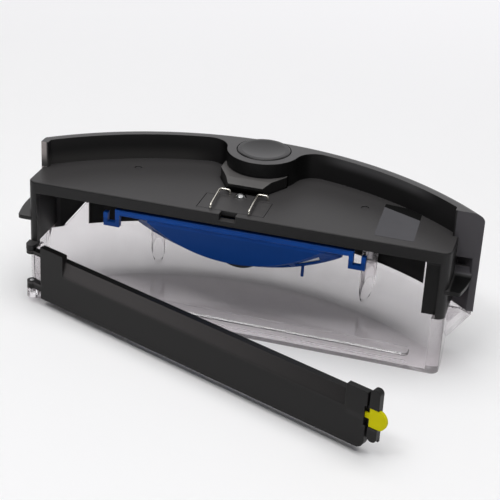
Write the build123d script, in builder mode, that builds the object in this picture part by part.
"""Dust bin of a round robot vacuum: black casing, clear tray, fan, blue filter and swing door."""
import os
from math import cos, radians, sin, sqrt

from build123d import *

os.makedirs("parts", exist_ok=True)

# Driving dimensions, millimetres. X is the width, Y runs from the mouth to the round back, Z is up.
robot_radius = 170.0
bin_depth = 71.0
mouth_y = -30.0
body_half = 109.7
side_wall = 3.0
rear_wall = 2.5
rim_height = 14.0
plate_thick = 2.5
pip_points = ((-63.2, 37.7), (59.6, 35.4))
pip_radius = 2.0
pip_depth = 0.5
corner_round = 4.0
edge_round = 0.8

# Front frame of the casing
leg_width = 4.7
leg_depth = 4.0
header_height = 6.2
leg_foot_z = 31.0
rear_foot_z = 28.0
jamb_width = 9.0
jamb_thick = 1.6

# Raised rim and the wings at its ends
rim_top_z = 81.5
rim_width = 7.4
rim_round = 4.2
wing_reach = 11.7
wing_under_z = 57.0
wing_left_out = 0.8

# Guide fins on both sides
fin_reach = 8.8
fin_nose = 6.4
fin_nose_round = 2.0
fin_bulge = 0.7
fin_z = 47.0
fin_thick = 2.0
fin_curve = 4.0

# Release button, its boss and the latch tongue
button_inset = 16.0
button_radius = 14.0
button_gap = 0.4
button_travel = 2.0
button_dish = 1.1
button_proud = 0.5
boss_radius = 19.2
boss_blend = 11.0
tongue_x = -1.7
tongue_height = 6.0
tongue_front = 27.4
tongue_front_half = 9.2
tongue_neck = 33.0
tongue_neck_half = 12.0
tongue_shoulder = 43.0
tongue_shoulder_half = 17.7
tongue_waist_lead = 4.0
tongue_tail = 8.5
tongue_gap = 0.4
tongue_ramp = 1.5
tongue_nose = 3.0
pad_margin = 2.0
spring_radius = 3.6
spring_wire = 0.7
spring_turns = 5
spring_room = 0.5
spring_pocket = 4.8

# Charging contacts
contact_x = -2.7
contact_pitch = 20.0
contact_wire = 1.1
contact_height = 2.4
contact_front = 4.0
contact_back = 24.4
contact_bend = 1.4
contact_side = 5.5
contact_skew = 1.3
contact_tip_gap = 0.4
cover_width = 34.6
cover_front = 4.6
cover_back = 21.5
cover_thick = 1.2
cover_gap = 0.25
notch_width = 8.4
notch_depth = 4.2
notch_height = 3.6
cover_screw_y = 23.6
cover_screw_radius = 3.1
cover_screw_dome = 1.9
cover_screw_shank = 1.2

# Clear tray
tray_wall = 2.2
tray_floor = 2.2
tray_inset = 0.6
bevel_top_z = 26.0
bevel_inset = 13.0
post_width = 6.3
post_depth = 5.5
sill_front = 8.4
sill_back = 16.8
sill_height = 1.2
sill_end = 16.7
sill_round = 3.0
sill_bevel = 0.6
lip_y = 2.6
lip_width = 1.2
lip_height = 0.9
ear_width = 11.6
ear_inset = 5.7
ear_top_z = 41.0
ear_slope_x = 10.0
part_gap = 0.3
screw_angles = (20.3, -22.4)
screw_inset = 7.4
tray_boss_radius = 4.2
casing_boss_radius = 5.2
boss_split_z = 40.0
casing_boss_height = 16.0
screw_radius = 1.5
screw_head_radius = 2.9
screw_head_thick = 1.9
screw_head_z = 30.0
screw_bite = 10.0
screw_fit = 0.1

# Filter
filter_front = 2.0
bar_half = 62.0
bar_drop = 8.0
bar_height = 3.5
bar_depth = 3.0
bar_lead = 1.2
bar_round = 1.2
basket_rear = 14.0
basket_wall = 1.5
front_half = 45.0
front_low_drop = 27.5
front_side_drop = 12.7
rear_half = 54.0
rear_low_drop = 33.5
rear_side_drop = 19.2
flange_half = 56.6
flange_thick = 1.5
rib_pitch = 15.0
rib_count = 7
rib_width = 2.0
window_front = 5.4
window_rear = 12.2
cloth_thick = 1.0
cloth_gap = 0.35
peg_x = 34.6
peg_radius = 0.8
peg_inset = 1.0
peg_drop = 33.0
peg_length = 6.6
hook_width = 8.5
hook_low_drop = 17.7
hook_tip_drop = 10.5
hook_wall = 2.2
rail_gap = 0.3
rail_thick = 1.8
rail_lip = 2.0

# Fan
fan_drop = 21.0
duct_radius = 14.0
duct_wall = 1.5
duct_rear_gap = 4.7
fan_plate_front = 14.3
fan_plate_drop = 6.5
fan_plate_thick = 1.8
inlet_radius = 10.0
impeller_front = 19.5
impeller_depth = 9.0
impeller_radius = 13.2
impeller_plate = 1.4
hub_radius = 4.2
blade_count = 9
blade_thick = 1.0
shaft_radius = 1.0
shaft_fit = 0.05
shaft_length = 16.0
motor_front = 31.0
motor_length = 24.0
motor_radius = 9.5
motor_nose_radius = 3.5
motor_nose = 1.4
collar_wall = 1.3
collar_fit = 0.05
collar_length = 15.0
vane_thick = 1.6
ear_plate_drop = 11.5
ear_plate_thick = 2.2
fan_screw_x = 42.0
fan_screw_y = 20.0
fan_mid = 41.0
fan_ear_radius = 4.0
fan_boss_radius = 3.2
fan_screw_radius = 1.2
fan_screw_head = 2.4
fan_screw_head_thick = 1.6
fan_screw_length = 8.0
vent_count = 5
vent_width = 24.0
vent_height = 2.4
vent_pitch = 4.8

# Swing door, drawn along its own length from the hinge axis
door_open = 21.7
hinge_inset = 2.9
hinge_out = 3.0
knuckle_radius = 2.6
pin_radius = 1.1
pin_fit = 0.05
hinge_gap = 0.3
upper_knuckle = 2.2
lower_knuckle = 4.0
knuckle_low_z = 8.2
pin_bite = 2.0
lug_height = 2.6
lug_foot_z = 3.0
lug_radius = 2.7
door_face_out = 4.2
door_skin = 3.4
door_box_depth = 3.2
door_start = 7.6
door_end_gap = 4.9
door_box_inset = 4.0
door_low_z = 4.2
door_corner = 4.5
door_bar_z = 30.0
door_tab_z = 34.4
left_tab_end = 23.6
right_tab = 11.6
door_bevel = 2.9
door_bevel_height = 7.0
slot_width = 1.4
cap_width = 4.9
cap_low_z = 10.0
cap_top_z = 37.2
web_thick = 1.3
latch_z = 22.2
latch_height = 9.6
latch_reach = 4.0
latch_gap = 0.25
latch_set_back = 0.2
stem_set_back = 1.0
latch_travel = 2.5
stem_height = 2.8
stem_length = 8.0

# Values worked out from the sizes above
top_z = rim_top_z - rim_height
robot_axis_y = mouth_y + bin_depth - robot_radius
robot_axis = (0, robot_axis_y)
rear_inner = robot_radius - rear_wall
plate_under_z = top_z - plate_thick
header_low_z = top_z - header_height
mouth_half = body_half - leg_width
wing_tip_x = body_half + wing_reach
wing_y = robot_axis_y + sqrt(robot_radius**2 - wing_tip_x**2)
wing_front = wing_y - mouth_y
left_wing_x = -(body_half + wing_left_out)
button_y = bin_depth - button_inset
boss_centre = (0, mouth_y + button_y)
tongue_top_z = top_z + tongue_height
tongue_waist = button_y - tongue_waist_lead
tongue_back = button_y + tongue_tail
contact_top_z = top_z + contact_height
contact_root = contact_side - contact_skew
tray_radius = robot_radius - tray_inset
sill_half = body_half - sill_end
sill_top_z = tray_floor + sill_height
ear_outer_x = body_half - ear_inset
ear_inner_x = ear_outer_x - ear_width
screw_circle = robot_radius - screw_inset
bar_top_z = top_z - bar_drop
bar_front = filter_front - bar_lead
peg_low_z = top_z - peg_drop
front_low_z = top_z - front_low_drop
front_side_z = top_z - front_side_drop
rear_low_z = top_z - rear_low_drop
rear_side_z = top_z - rear_side_drop
hook_low_z = top_z - hook_low_drop
hook_tip_z = top_z - hook_tip_drop
fan_z = top_z - fan_drop
fan_plate_top_z = top_z - fan_plate_drop
ear_plate_z = top_z - ear_plate_drop
duct_back = bin_depth - duct_rear_gap
hinge_x = hinge_inset - body_half
door_tab_end = body_half - hinge_x - door_end_gap
door_box_end = door_tab_end - door_box_inset
right_tab_start = door_tab_end - right_tab
tongue_floor_z = top_z - button_travel - tongue_gap / 2
pad_under_z = tongue_floor_z - plate_thick
button_seat_z = tongue_top_z + tongue_gap
screw_points = [
    (-screw_circle * sin(radians(a)), robot_axis_y + screw_circle * cos(radians(a))) for a in screw_angles
]
screw_shoulder_z = screw_head_z + screw_head_thick
screw_tip_z = boss_split_z + screw_bite
fan_screw_centre = (0, mouth_y + fan_mid)
ear_plate_top_z = ear_plate_z + ear_plate_thick
fan_screw_tip_z = ear_plate_z + fan_screw_length
flange_low_z = bar_top_z - flange_thick
rail_inner_x = flange_half + rail_gap
rail_top_z = flange_low_z - rail_gap
motor_nose_front = motor_front - motor_nose
hinge_axis = (hinge_x, mouth_y - hinge_out)
upper_knuckle_top_z = leg_foot_z - hinge_gap
skin_front = hinge_out - door_face_out
skin_back = skin_front + door_skin
box_back = skin_back + door_box_depth
cap_start = door_tab_end + slot_width
cap_end = cap_start + cap_width
web_front = skin_back - web_thick
latch_front = skin_front + latch_set_back
latch_back = web_front - latch_gap
stem_front = skin_front + stem_set_back
far = 4 * bin_depth


def front_plane(distance):
    """Upright plane facing the front, a distance behind the mouth; its axes are X and Z."""
    return Plane.XZ.offset(-(mouth_y + distance))


def body_plan(half, radius, front):
    """Straight-sided plan of the body, closed behind by the robot's round back."""
    with Locations((0, mouth_y + front)):
        Rectangle(2 * half, far, align=(Align.CENTER, Align.MIN))
    with Locations(robot_axis):
        Circle(radius, mode=Mode.INTERSECT)


def back_segment(radius, front):
    """Plan of everything behind the wings' front, out to the round back and the flush left end."""
    with Locations((left_wing_x + robot_radius - radius, wing_y + front)):
        Rectangle(2 * robot_radius, far, align=(Align.MIN, Align.MIN))
    with Locations(robot_axis):
        Circle(radius, mode=Mode.INTERSECT)


def back_ring(outer, inner):
    """Band along the robot's round back, from wing to wing."""
    back_segment(outer, 0)
    with Locations(robot_axis):
        Circle(inner, mode=Mode.SUBTRACT)


def ear_outline(side, gap):
    """Corner of the round back where the clear tray rises in place of the black wall."""
    outer = side * (ear_outer_x - gap)
    inner = side * (ear_inner_x + gap)
    slope = side * (ear_outer_x - gap - ear_slope_x)
    with BuildLine() as outline:
        Polyline(
            (outer, rear_foot_z - gap),
            (slope, ear_top_z - gap),
            (inner, ear_top_z - gap),
            (inner, rear_foot_z - gap),
            close=True,
        )
    make_face(outline.edges())


def fin_profile():
    """Flat shelf that curves up into the wing, as an upright section."""
    tip_y = mouth_y + edge_round
    bend_y = wing_y + edge_round - fin_curve
    bend_z = fin_z + fin_curve
    inner = fin_curve / sqrt(2)
    outer = (fin_curve + fin_thick) / sqrt(2)
    with BuildLine() as outline:
        Polyline((bend_y, fin_z - fin_thick), (tip_y, fin_z - fin_thick), (tip_y, fin_z), (bend_y, fin_z))
        ThreePointArc((bend_y, fin_z), (bend_y + inner, bend_z - inner), (bend_y + fin_curve, bend_z))
        Polyline(
            (bend_y + fin_curve, bend_z),
            (bend_y + fin_curve, bend_z + edge_round),
            (bend_y + fin_curve + fin_thick, bend_z + edge_round),
            (bend_y + fin_curve + fin_thick, bend_z),
        )
        ThreePointArc(
            (bend_y + fin_curve + fin_thick, bend_z),
            (bend_y + outer, bend_z - outer),
            (bend_y, fin_z - fin_thick),
        )
    make_face(outline.edges())


def fin_plan(side):
    """Plan of a fin, which widens in a slight curve from its nose back to the wing."""
    root = side * (body_half - side_wall)
    nose = side * (body_half + fin_nose)
    reach = side * (body_half + fin_reach)
    bulge = (nose + reach) / 2 + side * fin_bulge
    start_y = mouth_y + edge_round
    end_y = wing_y + edge_round + fin_thick
    bend_y = start_y + fin_nose_round
    bend_in = fin_nose_round * (1 - 1 / sqrt(2))
    with BuildLine() as outline:
        Line((root, start_y), (nose - side * fin_nose_round, start_y))
        ThreePointArc(
            (nose - side * fin_nose_round, start_y),
            (nose - side * bend_in, start_y + bend_in),
            (nose, bend_y),
        )
        ThreePointArc((nose, bend_y), (bulge, (bend_y + end_y) / 2), (reach, end_y))
        Polyline((reach, end_y), (root, end_y), (root, start_y))
    make_face(outline.edges())


def tongue_plan(grow):
    """Stepped plan of the latch tongue, grown all round by a clearance."""
    sides = [
        (tongue_front_half, tongue_front - grow),
        (tongue_neck_half, tongue_neck),
        (tongue_shoulder_half, tongue_shoulder),
        (tongue_shoulder_half, tongue_waist + grow),
        (tongue_neck_half, tongue_waist + grow + tongue_shoulder_half - tongue_neck_half),
        (tongue_neck_half, tongue_back + grow),
    ]
    right = [(tongue_x + half + grow, mouth_y + y) for half, y in sides]
    left = [(tongue_x - half - grow, mouth_y + y) for half, y in reversed(sides)]
    with BuildLine() as outline:
        Polyline(*right, *left, close=True)
    make_face(outline.edges())


def crescent(half, low_z, side_z, top, shrink=0.0):
    """Filter section: flat top, short upright sides and a sagging round bottom."""
    edge = half - shrink
    with BuildLine() as outline:
        Polyline((-edge, side_z), (-edge, top), (edge, top), (edge, side_z))
        ThreePointArc((edge, side_z), (0, low_z + shrink), (-edge, side_z))
    make_face(outline.edges())


def basket_form(front, rear, top, shrink, mode):
    """Loft of the filter basket between two distances behind the mouth."""
    with BuildSketch(front_plane(front)) as near:
        crescent(front_half, front_low_z, front_side_z, top, shrink)
    with BuildSketch(front_plane(rear)) as away:
        crescent(rear_half, rear_low_z, rear_side_z, top, shrink)
    loft([near.sketch, away.sketch], mode=mode)


def tray_form(inset, low, rear_top, side_top):
    """Body of the clear tray with its bevelled round back, shrunk by an inset."""
    with BuildSketch(Plane.XY.offset(low)) as body:
        body_plan(body_half - inset, tray_radius, inset)
    extrude(body.sketch, amount=side_top - low)
    with BuildSketch(Plane.XY.offset(low)) as back:
        back_segment(tray_radius, inset)
    extrude(back.sketch, amount=rear_top - low)
    with BuildSketch(Plane.XZ.offset(-robot_axis_y)) as bevel:
        with BuildLine():
            Polyline(
                (0, 0),
                (tray_radius - bevel_inset - inset, 0),
                (tray_radius - inset, bevel_top_z),
                (tray_radius - inset, side_top),
                (0, side_top),
                close=True,
            )
        make_face()
    revolve(bevel.sketch, axis=Axis((0, robot_axis_y, 0), (0, 0, 1)), mode=Mode.INTERSECT)


def door_plane(height):
    """Level plane with its origin on the hinge axis, X along the open door and Y into the bin."""
    turn = radians(door_open)
    return Plane((*hinge_axis, height), x_dir=(cos(turn), -sin(turn), 0), z_dir=(0, 0, 1))


def door_section(length):
    """Upright plane across the door at a length from the hinge axis; its axes run inward and up."""
    level = door_plane(0)
    return Plane(level.from_local_coords(Vector(length, 0, 0)), x_dir=level.y_dir, z_dir=level.x_dir)


def door_face(depth):
    """Upright plane along the door at a depth from the hinge axis; its axes run along and up."""
    level = door_plane(0)
    return Plane(level.from_local_coords(Vector(0, depth, 0)), x_dir=level.x_dir, z_dir=-level.y_dir)


def door_block(start, end, front, back, low, high, mode=Mode.ADD):
    """Block of the door between two lengths, two depths from the hinge axis and two heights."""
    with BuildSketch(door_plane(low)) as base:
        with Locations(((start + end) / 2, (front + back) / 2)):
            Rectangle(end - start, back - front)
    extrude(base.sketch, amount=high - low, mode=mode)


# Guide fins at both sides; the right one turns up into its wing, and the left one is flat
with BuildPart() as guide_fins:
    with BuildSketch(Plane.YZ.offset(body_half - side_wall / 2)):
        fin_profile()
    extrude(amount=fin_reach + side_wall / 2)
    with BuildSketch(Plane.XY.offset(fin_z - fin_thick)):
        with Locations((side_wall / 2 - body_half, mouth_y)):
            Rectangle(fin_reach + side_wall / 2, far, align=(Align.MAX, Align.MIN))
    extrude(amount=fin_thick)
    with BuildSketch(Plane.XY):
        for side in (1, -1):
            fin_plan(side)
    extrude(amount=rim_top_z, mode=Mode.INTERSECT)

# Casing: top plate, frame round the mouth, round back, raised rim, wings and fins
with BuildPart() as top_casing:
    with BuildSketch(Plane.XY.offset(leg_foot_z)):
        body_plan(body_half, robot_radius, 0)
    extrude(amount=top_z - leg_foot_z)
    fillet(top_casing.edges().filter_by(Axis.Z).group_by(Axis.Y)[0], corner_round)
    top_rim = top_casing.edges().filter_by_position(Axis.Z, top_z, top_z)
    fillet(top_rim.filter_by_position(Axis.Y, mouth_y, wing_y), edge_round)
    with BuildSketch(Plane.XY.offset(leg_foot_z)):
        body_plan(body_half - side_wall, rear_inner, leg_depth)
    extrude(amount=plate_under_z - leg_foot_z, mode=Mode.SUBTRACT)
    with BuildSketch(front_plane(0)):
        with Locations((0, leg_foot_z)):
            Rectangle(2 * mouth_half, header_low_z - leg_foot_z, align=(Align.CENTER, Align.MIN))
    extrude(amount=-leg_depth, mode=Mode.SUBTRACT)
    # Latch-side jamb, a thin panel behind the right leg
    with BuildSketch(front_plane(leg_depth)):
        with Locations((body_half - side_wall, leg_foot_z)):
            Rectangle(jamb_width, plate_under_z - leg_foot_z, align=(Align.MAX, Align.MIN))
    extrude(amount=-jamb_thick)
    # Round back wall
    with BuildSketch(Plane.XY.offset(rear_foot_z)):
        back_ring(robot_radius, rear_inner)
    extrude(amount=top_z - rear_foot_z)
    # Wings that close the ends of the rim
    with BuildSketch(Plane.XY.offset(wing_under_z)):
        back_segment(robot_radius, 0)
        Rectangle(2 * (body_half - side_wall), far, mode=Mode.SUBTRACT)
    extrude(amount=rim_top_z - wing_under_z)
    # Raised rim with the button boss blended into it
    with BuildSketch(Plane.XY.offset(plate_under_z)) as rim_plan:
        back_ring(robot_radius, robot_radius - rim_width)
        with Locations(boss_centre):
            Circle(boss_radius)
        with Locations(robot_axis):
            Circle(robot_radius, mode=Mode.INTERSECT)
        junctions = rim_plan.vertices().filter_by_position(Axis.X, -2 * boss_radius, 2 * boss_radius)
        fillet(junctions.filter_by_position(Axis.Y, mouth_y, boss_centre[1] + boss_radius / 2), boss_blend)
    extrude(amount=rim_top_z - plate_under_z)
    round_edges = top_casing.edges().filter_by(GeomType.CIRCLE)
    top_edges = round_edges.filter_by_position(Axis.Z, rim_top_z, rim_top_z)
    fillet([e for e in top_edges if abs(e.radius - robot_radius) < edge_round], rim_round)
    add(guide_fins.part)
    # Well for the latch tongue, with a floor under it, and the button's bore above it
    with BuildSketch(Plane.XY.offset(pad_under_z)):
        tongue_plan(tongue_gap + pad_margin)
        with Locations(robot_axis):
            Circle(rear_inner, mode=Mode.INTERSECT)
    extrude(amount=plate_under_z - pad_under_z)
    with BuildSketch(Plane.XY.offset(tongue_floor_z)):
        tongue_plan(tongue_gap)
    extrude(amount=button_seat_z - tongue_floor_z, mode=Mode.SUBTRACT)
    with BuildSketch(Plane.XY.offset(tongue_top_z - button_travel)):
        with Locations(boss_centre):
            Circle(button_radius + button_gap)
    extrude(amount=rim_top_z + button_travel - tongue_top_z, mode=Mode.SUBTRACT)
    # Bed of the contact cover, the notch in the front edge and the holes for wires and screw
    with BuildSketch(Plane.XY.offset(top_z)):
        with Locations((contact_x, mouth_y + (cover_front + cover_back) / 2)):
            Rectangle(cover_width + 2 * cover_gap, cover_back - cover_front + 2 * cover_gap)
    extrude(amount=-cover_thick, mode=Mode.SUBTRACT)
    with BuildSketch(front_plane(0)):
        with Locations((contact_x, top_z)):
            Rectangle(notch_width, notch_height, align=(Align.CENTER, Align.MAX))
    extrude(amount=-notch_depth, mode=Mode.SUBTRACT)
    with BuildSketch(Plane.XY.offset(top_z)):
        with Locations((contact_x + contact_root, mouth_y + contact_back)):
            with GridLocations(contact_pitch, 1, 2, 1):
                Circle(contact_wire / 2 + screw_fit)
        with Locations((contact_x, mouth_y + cover_screw_y)):
            Circle(cover_screw_shank + screw_fit)
    extrude(amount=-plate_thick, mode=Mode.SUBTRACT)
    # Two shallow moulding marks in the top plate
    with BuildSketch(Plane.XY.offset(top_z)):
        with Locations(*[(x, mouth_y + y) for x, y in pip_points]):
            Circle(pip_radius)
    extrude(amount=-pip_depth, mode=Mode.SUBTRACT)
    # Bosses for the fan's screws
    with BuildSketch(Plane.XY.offset(ear_plate_top_z)):
        with Locations(fan_screw_centre):
            with GridLocations(fan_screw_x, fan_screw_y, 2, 2):
                Circle(fan_boss_radius)
    extrude(amount=plate_under_z - ear_plate_top_z)
    with BuildSketch(Plane.XY.offset(ear_plate_top_z)):
        with Locations(fan_screw_centre):
            with GridLocations(fan_screw_x, fan_screw_y, 2, 2):
                Circle(fan_screw_radius + screw_fit)
    extrude(amount=fan_screw_tip_z + screw_fit - ear_plate_top_z, mode=Mode.SUBTRACT)
    # Bosses for the tray's screws, against the round back
    with BuildSketch(Plane.XY.offset(boss_split_z)):
        with Locations(*screw_points):
            Circle(casing_boss_radius)
    extrude(amount=casing_boss_height)
    with BuildSketch(Plane.XY.offset(boss_split_z)):
        with Locations(*screw_points):
            Circle(screw_radius + screw_fit)
    extrude(amount=screw_bite + screw_fit, mode=Mode.SUBTRACT)
    # Rails that carry the filter's flange
    for side in (1, -1):
        with BuildSketch(front_plane(basket_rear)):
            with BuildLine():
                Polyline(
                    (side * rail_inner_x, plate_under_z),
                    (side * rail_inner_x, rail_top_z),
                    (side * (rail_inner_x - rail_lip), rail_top_z),
                    (side * (rail_inner_x - rail_lip), rail_top_z - rail_thick),
                    (side * (rail_inner_x + rail_thick), rail_top_z - rail_thick),
                    (side * (rail_inner_x + rail_thick), plate_under_z),
                    close=True,
                )
            make_face()
        extrude(amount=basket_rear - filter_front - 2 * bar_depth)
    # Exhaust slots behind the fan, and the corners where the clear tray rises
    with BuildSketch(front_plane(duct_back)):
        with Locations((0, fan_z)):
            with GridLocations(1, vent_pitch, 1, vent_count):
                SlotOverall(vent_width, vent_height)
    extrude(amount=-bin_depth, mode=Mode.SUBTRACT)
    with BuildSketch(front_plane(wing_front)):
        for side in (1, -1):
            ear_outline(side, 0)
    extrude(amount=-bin_depth, mode=Mode.SUBTRACT)
    # Upper hinge lug in front of the left leg
    with BuildSketch(Plane.XY.offset(leg_foot_z)):
        with Locations(hinge_axis):
            Circle(lug_radius)
            Rectangle(2 * lug_radius, hinge_out + edge_round, align=(Align.CENTER, Align.MIN))
    extrude(amount=lug_height)
    with BuildSketch(Plane.XY.offset(leg_foot_z)):
        with Locations(hinge_axis):
            Circle(pin_radius + pin_fit)
    extrude(amount=pin_bite + pin_fit, mode=Mode.SUBTRACT)
top_casing.part.label = "top_casing"
export_step(top_casing.part, "parts/top_casing.step")

# Clear tray: floor, posts beside the mouth, bevelled round back, screw bosses and the lower hinge lug
with BuildPart() as tray_block:
    tray_form(0, 0, rear_foot_z, leg_foot_z)

with BuildPart() as tray_hollow:
    tray_form(tray_wall, tray_floor, leg_foot_z, leg_foot_z)

# Ears of the tray, which fill the corners cut from the casing's round back
with BuildPart() as tray_ears:
    with BuildSketch(Plane.XY.offset(rear_foot_z - tray_wall)):
        back_ring(tray_radius, tray_radius - tray_wall)
    extrude(amount=ear_top_z)
    with BuildSketch(front_plane(wing_front)):
        for side in (1, -1):
            ear_outline(side, part_gap)
    extrude(amount=-bin_depth, mode=Mode.INTERSECT)

with BuildPart() as clear_bin:
    add(tray_block.part)
    add(tray_hollow.part, mode=Mode.SUBTRACT)
    with BuildSketch(front_plane(0)):
        with Locations((0, tray_floor)):
            Rectangle(2 * (body_half - post_width), leg_foot_z, align=(Align.CENTER, Align.MIN))
    extrude(amount=-tray_wall, mode=Mode.SUBTRACT)
    with BuildSketch(Plane.XY):
        for side in (1, -1):
            with Locations((side * (body_half - post_width / 2), mouth_y)):
                Rectangle(post_width, post_depth, align=(Align.CENTER, Align.MIN))
    extrude(amount=leg_foot_z)
    fillet(clear_bin.edges().filter_by(Axis.Z).group_by(Axis.Y)[0].group_by(Axis.X)[0], corner_round)
    fillet(clear_bin.edges().filter_by(Axis.Z).group_by(Axis.Y)[0].group_by(Axis.X)[-1], corner_round)
    with BuildSketch(Plane.XY.offset(tray_floor / 2)):
        with Locations(*screw_points):
            Circle(tray_boss_radius)
    extrude(amount=rear_foot_z - tray_floor / 2)
    add(tray_block.part, mode=Mode.INTERSECT)
    # The round back ends lower than the posts, under the casing's wall
    with BuildSketch(Plane.XY.offset(rear_foot_z)):
        back_ring(robot_radius, rear_inner - part_gap)
    extrude(amount=leg_foot_z - rear_foot_z, mode=Mode.SUBTRACT)
    with BuildSketch(Plane.XY.offset(rear_foot_z - tray_wall)):
        with Locations(*screw_points):
            Circle(tray_boss_radius)
    extrude(amount=boss_split_z - rear_foot_z + tray_wall)
    with BuildSketch(Plane.XY):
        with Locations(*screw_points):
            Circle(screw_head_radius + part_gap)
    extrude(amount=screw_shoulder_z, mode=Mode.SUBTRACT)
    with BuildSketch(Plane.XY.offset(screw_shoulder_z)):
        with Locations(*screw_points):
            Circle(screw_radius + screw_fit)
    extrude(amount=boss_split_z - screw_shoulder_z, mode=Mode.SUBTRACT)
    # Sill behind the door and the lip along the front edge
    with BuildSketch(Plane.XY.offset(tray_floor)):
        with Locations((0, mouth_y + (sill_front + sill_back) / 2)):
            RectangleRounded(2 * sill_half, sill_back - sill_front, sill_round)
    extrude(amount=sill_height)
    chamfer(clear_bin.edges().filter_by_position(Axis.Z, sill_top_z, sill_top_z), sill_bevel)
    with BuildSketch(Plane.XY.offset(tray_floor)):
        with Locations((0, mouth_y + lip_y)):
            SlotOverall(2 * sill_half, lip_width)
    extrude(amount=lip_height)
    add(tray_ears.part)
    # Lower hinge lug in front of the left post
    with BuildSketch(Plane.XY.offset(lug_foot_z)):
        with Locations(hinge_axis):
            Circle(lug_radius)
            Rectangle(2 * lug_radius, hinge_out + edge_round, align=(Align.CENTER, Align.MIN))
    extrude(amount=knuckle_low_z - hinge_gap - lug_foot_z)
    with BuildSketch(Plane.XY.offset(knuckle_low_z - hinge_gap)):
        with Locations(hinge_axis):
            Circle(pin_radius + pin_fit)
    extrude(amount=-(pin_bite + pin_fit), mode=Mode.SUBTRACT)
clear_bin.part.label = "clear_bin"
export_step(clear_bin.part, "parts/clear_bin.step")

# Screws that hold the tray to the casing
with BuildPart() as casing_screws:
    with BuildSketch(Plane.XY.offset(screw_head_z)):
        with Locations(*screw_points):
            Circle(screw_head_radius)
    extrude(amount=screw_head_thick)
    with BuildSketch(Plane.XY.offset(screw_shoulder_z)):
        with Locations(*screw_points):
            Circle(screw_radius)
    extrude(amount=screw_tip_z - screw_shoulder_z)
casing_screws.part.label = "casing_screws"
export_step(casing_screws.part, "parts/casing_screws.step")

# Flush cover over the contacts' wiring
with BuildPart() as contact_cover:
    with BuildSketch(Plane.XY.offset(top_z - cover_thick)):
        with Locations((contact_x, mouth_y + (cover_front + cover_back) / 2)):
            Rectangle(cover_width, cover_back - cover_front)
        with Locations((contact_x, mouth_y + cover_screw_y)):
            Circle(cover_screw_shank + screw_fit, mode=Mode.SUBTRACT)
    extrude(amount=cover_thick)
contact_cover.part.label = "contact_cover"
export_step(contact_cover.part, "parts/contact_cover.step")

# Domed screw behind the cover
with BuildPart() as cover_screw:
    with BuildSketch(Plane.XZ.offset(-(mouth_y + cover_screw_y))):
        with BuildLine():
            Polyline(
                (contact_x, top_z + cover_screw_dome),
                (contact_x, plate_under_z),
                (contact_x + cover_screw_shank, plate_under_z),
                (contact_x + cover_screw_shank, top_z),
                (contact_x + cover_screw_radius, top_z),
            )
            RadiusArc(
                (contact_x + cover_screw_radius, top_z),
                (contact_x, top_z + cover_screw_dome),
                -(cover_screw_radius**2 + cover_screw_dome**2) / (2 * cover_screw_dome),
            )
        make_face()
    revolve(axis=Axis((contact_x, mouth_y + cover_screw_y, 0), (0, 0, 1)))
cover_screw.part.label = "cover_screw"
export_step(cover_screw.part, "parts/cover_screw.step")


def contact_wire_path(x):
    """Bent route of one contact: up out of the plate, aside, forward, and down at the tip."""
    back = mouth_y + contact_back
    front = mouth_y + contact_front
    return FilletPolyline(
        (x + contact_root, back, plate_under_z),
        (x + contact_root, back, contact_top_z),
        (x - contact_skew, back, contact_top_z),
        (x, front, contact_top_z),
        (x, front, top_z + contact_tip_gap),
        radius=contact_bend,
    )


# Two spring-wire contacts
with BuildPart() as contact_left:
    with BuildLine():
        contact_wire_path(contact_x - contact_pitch / 2)
    with BuildSketch(Plane.XY.offset(plate_under_z)):
        with Locations((contact_x - contact_pitch / 2 + contact_root, mouth_y + contact_back)):
            Circle(contact_wire / 2)
    sweep()
contact_left.part.label = "contact_left"
export_step(contact_left.part, "parts/contact_left.step")

with BuildPart() as contact_right:
    with BuildLine():
        contact_wire_path(contact_x + contact_pitch / 2)
    with BuildSketch(Plane.XY.offset(plate_under_z)):
        with Locations((contact_x + contact_pitch / 2 + contact_root, mouth_y + contact_back)):
            Circle(contact_wire / 2)
    sweep()
contact_right.part.label = "contact_right"
export_step(contact_right.part, "parts/contact_right.step")

# Latch tongue under the button, with a ramp on its front edge and a pocket for the spring
with BuildPart() as latch_tongue:
    with BuildSketch(Plane.XY.offset(top_z)):
        tongue_plan(0)
    extrude(amount=tongue_top_z - top_z)
    with BuildSketch(Plane.YZ.offset(-robot_radius)):
        with BuildLine():
            Polyline(
                (mouth_y + tongue_neck, tongue_top_z),
                (mouth_y + tongue_front, tongue_top_z - tongue_ramp),
                (mouth_y + tongue_front, tongue_top_z),
                close=True,
            )
        make_face()
        with BuildLine():
            Polyline(
                (mouth_y + tongue_front, top_z + tongue_nose),
                (mouth_y + tongue_front + tongue_nose, top_z),
                (mouth_y + tongue_front, top_z),
                close=True,
            )
        make_face()
    extrude(amount=2 * robot_radius, mode=Mode.SUBTRACT)
    with BuildSketch(Plane.XY.offset(top_z)):
        with Locations(boss_centre):
            Circle(spring_radius + spring_wire / 2 + spring_room)
    extrude(amount=spring_pocket, mode=Mode.SUBTRACT)
latch_tongue.part.label = "latch_tongue"
export_step(latch_tongue.part, "parts/latch_tongue.step")

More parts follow.
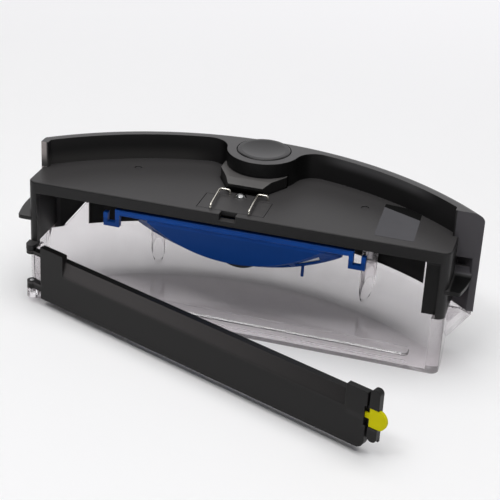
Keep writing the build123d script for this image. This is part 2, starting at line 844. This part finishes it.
# Dished release button that sits on the tongue
button_top_z = rim_top_z + button_proud
dish_half = button_radius - 3 * edge_round
with BuildPart() as release_button:
    with BuildSketch(Plane.XZ.offset(-boss_centre[1])):
        with BuildLine():
            Polyline(
                (0, button_top_z - button_dish),
                (0, tongue_top_z),
                (button_radius, tongue_top_z),
                (button_radius, button_top_z - edge_round),
            )
            RadiusArc(
                (button_radius, button_top_z - edge_round),
                (button_radius - edge_round, button_top_z),
                -edge_round,
            )
            Line((button_radius - edge_round, button_top_z), (dish_half, button_top_z))
            RadiusArc(
                (dish_half, button_top_z),
                (0, button_top_z - button_dish),
                (dish_half**2 + button_dish**2) / (2 * button_dish),
            )
        make_face()
    revolve(axis=Axis((*boss_centre, 0), (0, 0, 1)))
release_button.part.label = "release_button"
export_step(release_button.part, "parts/release_button.step")

# Coil spring that lifts the tongue and the button
spring_height = top_z + spring_pocket - tongue_floor_z - spring_wire
spring_start_z = tongue_floor_z + spring_wire / 2
with BuildPart() as button_spring:
    with BuildLine(Plane((*boss_centre, spring_start_z))):
        Helix(spring_height / spring_turns, spring_height, spring_radius)
    wire_start = (boss_centre[0] + spring_radius, boss_centre[1], spring_start_z)
    with BuildSketch(Plane(wire_start, z_dir=(0, 1, 0))):
        Circle(spring_wire / 2)
    sweep(is_frenet=True)
button_spring.part.label = "button_spring"
export_step(button_spring.part, "parts/button_spring.step")

# Blue filter frame: grip bar, solid crescent front, ribbed sloping band, flange and hooks
with BuildPart() as filter_frame:
    basket_form(filter_front, basket_rear, bar_top_z - flange_thick / 2, 0, Mode.ADD)
    basket_form(filter_front + basket_wall, basket_rear, flange_low_z, basket_wall, Mode.SUBTRACT)
    with BuildSketch(Plane.XY.offset(rear_low_z - basket_wall)):
        with Locations((0, mouth_y + (window_front + window_rear) / 2)):
            with GridLocations(rib_pitch, 1, rib_count - 1, 1):
                Rectangle(rib_pitch - rib_width, window_rear - window_front)
    extrude(amount=flange_low_z - rear_low_z, mode=Mode.SUBTRACT)
    with BuildSketch(Plane.YZ.offset(-bar_half)):
        with Locations((mouth_y + bar_front, bar_top_z)):
            RectangleRounded(bar_depth, bar_height, bar_round, align=(Align.MIN, Align.MAX))
    extrude(amount=2 * bar_half)
    with BuildSketch(front_plane(bar_front)):
        for side in (1, -1):
            with BuildLine():
                Polyline(
                    (side * (bar_half - hook_wall), bar_top_z),
                    (side * (bar_half - hook_wall), hook_low_z),
                    (side * (bar_half - hook_wall + hook_width), hook_low_z),
                    (side * (bar_half - hook_wall + hook_width), hook_tip_z),
                    (side * (bar_half - 2 * hook_wall + hook_width), hook_tip_z),
                    (side * (bar_half - 2 * hook_wall + hook_width), hook_low_z + hook_wall),
                    (side * bar_half, hook_low_z + hook_wall),
                    (side * bar_half, bar_top_z),
                    close=True,
                )
            make_face()
    extrude(amount=-bar_depth)
    # Small locating peg under the rear rim
    with BuildSketch(Plane.XY.offset(peg_low_z)):
        with Locations((peg_x, mouth_y + basket_rear - peg_inset)):
            Circle(peg_radius)
    extrude(amount=peg_length)
    with BuildSketch(Plane.XY.offset(flange_low_z)):
        with Locations((0, mouth_y + filter_front)):
            Rectangle(2 * flange_half, basket_rear - filter_front, align=(Align.CENTER, Align.MIN))
    extrude(amount=flange_thick)
filter_frame.part.label = "filter_frame"
export_step(filter_frame.part, "parts/filter_frame.step")

# Filter cloth that lines the ribbed band
cloth_out = basket_wall + cloth_gap
cloth_front = filter_front + basket_wall
with BuildPart() as filter_cloth:
    basket_form(cloth_front, basket_rear, front_side_z + cloth_thick, cloth_out, Mode.ADD)
    basket_form(cloth_front, basket_rear, flange_low_z, cloth_out + cloth_thick, Mode.SUBTRACT)
filter_cloth.part.label = "filter_cloth"
export_step(filter_cloth.part, "parts/filter_cloth.step")

# Fan housing: plate behind the filter, round duct to the exhaust, motor collar on vanes and screw ears
with BuildPart() as fan_housing:
    with BuildSketch(front_plane(fan_plate_front)):
        crescent(rear_half, rear_low_z, rear_side_z, fan_plate_top_z)
    extrude(amount=-fan_plate_thick)
    with BuildSketch(front_plane(fan_plate_front + fan_plate_thick)):
        with Locations((0, fan_z)):
            Circle(duct_radius + duct_wall)
    extrude(amount=-(duct_back - fan_plate_front - fan_plate_thick))
    with BuildSketch(Plane.XY.offset(ear_plate_z)):
        with Locations(fan_screw_centre):
            RectangleRounded(
                fan_screw_x + 2 * fan_ear_radius,
                fan_screw_y + 2 * fan_ear_radius,
                fan_ear_radius - edge_round,
            )
    extrude(amount=ear_plate_thick)
    with BuildSketch(front_plane(fan_plate_front + fan_plate_thick)):
        with Locations((0, fan_z)):
            Circle(duct_radius)
    extrude(amount=-bin_depth, mode=Mode.SUBTRACT)
    with BuildSketch(front_plane(fan_plate_front)):
        with Locations((0, fan_z)):
            Circle(inlet_radius)
    extrude(amount=-fan_plate_thick, mode=Mode.SUBTRACT)
    with BuildSketch(Plane.XY.offset(ear_plate_z)):
        with Locations(fan_screw_centre):
            with GridLocations(fan_screw_x, fan_screw_y, 2, 2):
                Circle(fan_screw_radius + screw_fit)
    extrude(amount=ear_plate_thick, mode=Mode.SUBTRACT)
    collar_start = motor_front + (motor_length - collar_length) / 2
    with BuildSketch(front_plane(collar_start)):
        with Locations((0, fan_z)):
            with PolarLocations(0, 3, start_angle=90):
                Rectangle(duct_radius + duct_wall / 2, vane_thick, align=(Align.MIN, Align.CENTER))
            Circle(motor_radius + collar_fit + collar_wall)
            Circle(motor_radius + collar_fit, mode=Mode.SUBTRACT)
    extrude(amount=-collar_length)
fan_housing.part.label = "fan_housing"
export_step(fan_housing.part, "parts/fan_housing.step")

# Screws that hold the fan housing under the top plate
with BuildPart() as fan_screws:
    with BuildSketch(Plane.XY.offset(ear_plate_z)):
        with Locations(fan_screw_centre):
            with GridLocations(fan_screw_x, fan_screw_y, 2, 2):
                Circle(fan_screw_head)
    extrude(amount=-fan_screw_head_thick)
    with BuildSketch(Plane.XY.offset(ear_plate_z)):
        with Locations(fan_screw_centre):
            with GridLocations(fan_screw_x, fan_screw_y, 2, 2):
                Circle(fan_screw_radius)
    extrude(amount=fan_screw_length)
fan_screws.part.label = "fan_screws"
export_step(fan_screws.part, "parts/fan_screws.step")

# Motor can with a bearing nose
with BuildPart() as fan_motor:
    with BuildSketch(front_plane(motor_front)):
        with Locations((0, fan_z)):
            Circle(motor_radius)
    extrude(amount=-motor_length)
    fillet(fan_motor.edges().filter_by(GeomType.CIRCLE), edge_round)
    with BuildSketch(front_plane(motor_nose_front)):
        with Locations((0, fan_z)):
            Circle(motor_nose_radius)
    extrude(amount=-2 * motor_nose)
    with BuildSketch(front_plane(motor_nose_front)):
        with Locations((0, fan_z)):
            Circle(shaft_radius + shaft_fit)
    extrude(amount=-(impeller_front + shaft_length - motor_nose_front + shaft_fit), mode=Mode.SUBTRACT)
fan_motor.part.label = "fan_motor"
export_step(fan_motor.part, "parts/fan_motor.step")

# Motor shaft
with BuildPart() as motor_shaft:
    with BuildSketch(front_plane(impeller_front)):
        with Locations((0, fan_z)):
            Circle(shaft_radius)
    extrude(amount=-shaft_length)
motor_shaft.part.label = "motor_shaft"
export_step(motor_shaft.part, "parts/motor_shaft.step")

# Impeller: back plate, hub and swept blades
with BuildPart() as fan_impeller:
    with BuildSketch(front_plane(impeller_front + impeller_depth)):
        with Locations((0, fan_z)):
            Circle(impeller_radius)
    extrude(amount=impeller_plate)
    with BuildSketch(front_plane(impeller_front + impeller_depth)):
        with Locations((0, fan_z)):
            Circle(hub_radius)
    extrude(amount=impeller_depth)
    with BuildSketch(front_plane(impeller_front + impeller_depth)):
        with Locations((0, fan_z)):
            with PolarLocations(0, blade_count):
                with Locations(((hub_radius + impeller_radius) / 2, -hub_radius / 2)):
                    Rectangle(impeller_radius - hub_radius, blade_thick, rotation=-30)
    extrude(amount=impeller_depth - edge_round)
    with BuildSketch(front_plane(impeller_front)):
        with Locations((0, fan_z)):
            Circle(impeller_radius)
    extrude(amount=-impeller_depth, mode=Mode.INTERSECT)
    with BuildSketch(front_plane(impeller_front)):
        with Locations((0, fan_z)):
            Circle(shaft_radius)
    extrude(amount=-impeller_depth, mode=Mode.SUBTRACT)
fan_impeller.part.label = "fan_impeller"
export_step(fan_impeller.part, "parts/fan_impeller.step")

# Swing door: bevelled bar with raised end tabs, two hinge knuckles and the latch housing at its free end
with BuildPart() as door:
    door_block(door_start, door_tab_end, skin_front, skin_back, door_low_z, door_bar_z)
    door_block(door_start + edge_round, door_box_end, skin_back, box_back, door_low_z, door_bar_z)
    free_end = door.edges().filter_by_position(Axis.Z, door_low_z, door_low_z)
    corner = free_end.filter_by(lambda e: abs(e.length - door_skin) < pin_fit).sort_by(Axis.X)[-1]
    fillet(corner, door_corner)
    with BuildSketch(door_section(left_tab_end)):
        with BuildLine():
            Polyline(
                (skin_front, door_bar_z - door_bevel_height),
                (skin_front + door_bevel, door_bar_z),
                (skin_front, door_bar_z),
                close=True,
            )
        make_face()
    extrude(amount=right_tab_start - left_tab_end, mode=Mode.SUBTRACT)
    door_block(door_start, left_tab_end, skin_front, skin_back, door_bar_z, door_tab_z)
    door_block(right_tab_start, door_tab_end, skin_front, skin_back, door_bar_z, door_tab_z)
    door_block(door_tab_end, cap_end, web_front, skin_back, cap_low_z, door_tab_z)
    with BuildSketch(door_face(skin_front)):
        with Locations((cap_start, cap_low_z)):
            RectangleRounded(
                cap_width, cap_top_z - cap_low_z, cap_width / 2 - latch_gap, align=(Align.MIN, Align.MIN)
            )
    extrude(amount=-door_skin)
    window = latch_height / 2 + latch_gap
    door_block(
        cap_start - latch_travel, cap_end, skin_front, web_front,
        latch_z - window, latch_z + window, Mode.SUBTRACT,
    )
    stem_room = stem_height / 2 + latch_gap
    stem_end = door_tab_end - stem_length - latch_travel - latch_gap
    door_block(
        stem_end, door_tab_end, stem_front - latch_gap, web_front,
        latch_z - stem_room, latch_z + stem_room, Mode.SUBTRACT,
    )
    knuckle_ends = (
        (knuckle_low_z, knuckle_low_z + lower_knuckle),
        (upper_knuckle_top_z - upper_knuckle, upper_knuckle_top_z),
    )
    for low, high in knuckle_ends:
        door_block(0, door_start + 2 * edge_round, skin_front, skin_back, low, high)
        with BuildSketch(door_plane(low)):
            Circle(knuckle_radius)
        extrude(amount=high - low)
        with BuildSketch(door_plane(low)):
            Circle(pin_radius + pin_fit)
        extrude(amount=high - low, mode=Mode.SUBTRACT)
door.part.label = "door"
export_step(door.part, "parts/door.step")

# Thumb latch in the door's free end
with BuildPart() as door_latch:
    with BuildSketch(door_face(latch_front)):
        with Locations((cap_start + latch_gap, latch_z)):
            Rectangle(cap_width, latch_height, align=(Align.MIN, Align.CENTER))
        with Locations((cap_end + latch_gap, latch_z)):
            Ellipse(latch_reach, latch_height / 2)
    extrude(amount=-(latch_back - latch_front))
    door_block(
        door_tab_end - stem_length, cap_start + 2 * latch_gap, stem_front, latch_back,
        latch_z - stem_height / 2, latch_z + stem_height / 2,
    )
door_latch.part.label = "door_latch"
export_step(door_latch.part, "parts/door_latch.step")

# Hinge pins, one in each lug
with BuildPart() as hinge_pins:
    for low, high in (
        (knuckle_low_z - hinge_gap - pin_bite, knuckle_low_z + lower_knuckle),
        (upper_knuckle_top_z - upper_knuckle, leg_foot_z + pin_bite),
    ):
        with BuildSketch(Plane.XY.offset(low)):
            with Locations(hinge_axis):
                Circle(pin_radius)
        extrude(amount=high - low)
hinge_pins.part.label = "hinge_pins"
export_step(hinge_pins.part, "parts/hinge_pins.step")
